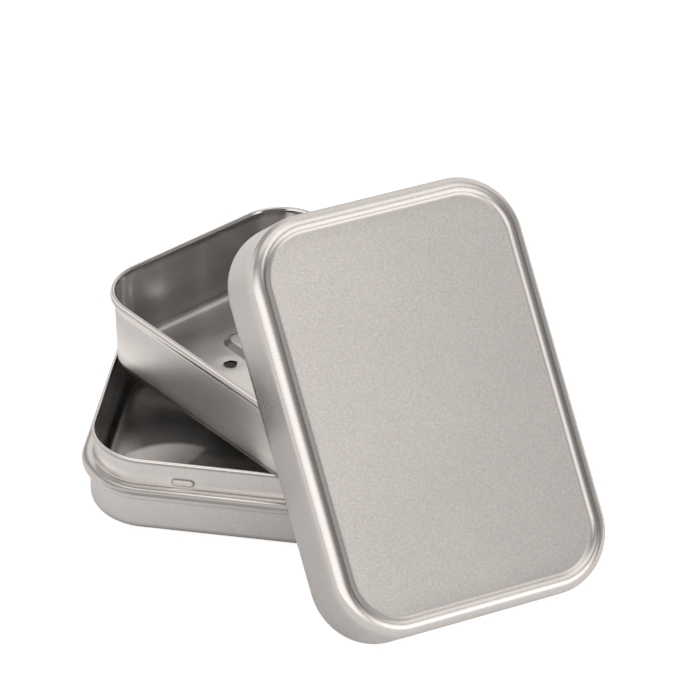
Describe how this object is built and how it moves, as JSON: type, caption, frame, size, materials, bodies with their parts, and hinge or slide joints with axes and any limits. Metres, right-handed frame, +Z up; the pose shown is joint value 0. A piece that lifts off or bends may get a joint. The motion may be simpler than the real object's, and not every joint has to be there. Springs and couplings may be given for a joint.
{
  "type": "soap tin",
  "caption": "Three-piece pressed metal soap tin: open beaded base, drip tray with a raised rib and drain holes laid across it, and a slip lid leaning on both.",
  "frame": {"origin": "centre of the base tin's flat underside", "axes": "+Z up, +X along the base tin's long side, +Y to the back, away from the leaning lid"},
  "size_m": [0.1342, 0.1359, 0.0901],
  "materials": {
    "base_metal": "satin, softly reflective",
    "tray_metal": "satin, softly reflective",
    "lid_metal": "fine grained satin panel, smoother rim"
  },
  "bodies": {
    "base": {"base_tin": "base_metal"},
    "tray": {"soap_tray": "tray_metal"},
    "lid": {"lid": "lid_metal"}
  },
  "joints": [
    {"name": "tray_lift", "type": "slide", "parent": "base", "child": "tray", "axis": [-0.5348, 0.7811, 0.3223], "range_m": [0, 0.13]},
    {"name": "lid_lift", "type": "slide", "parent": "base", "child": "lid", "axis": [0.4251, -0.6208, 0.6587], "range_m": [0, 0.13]}
  ]
}
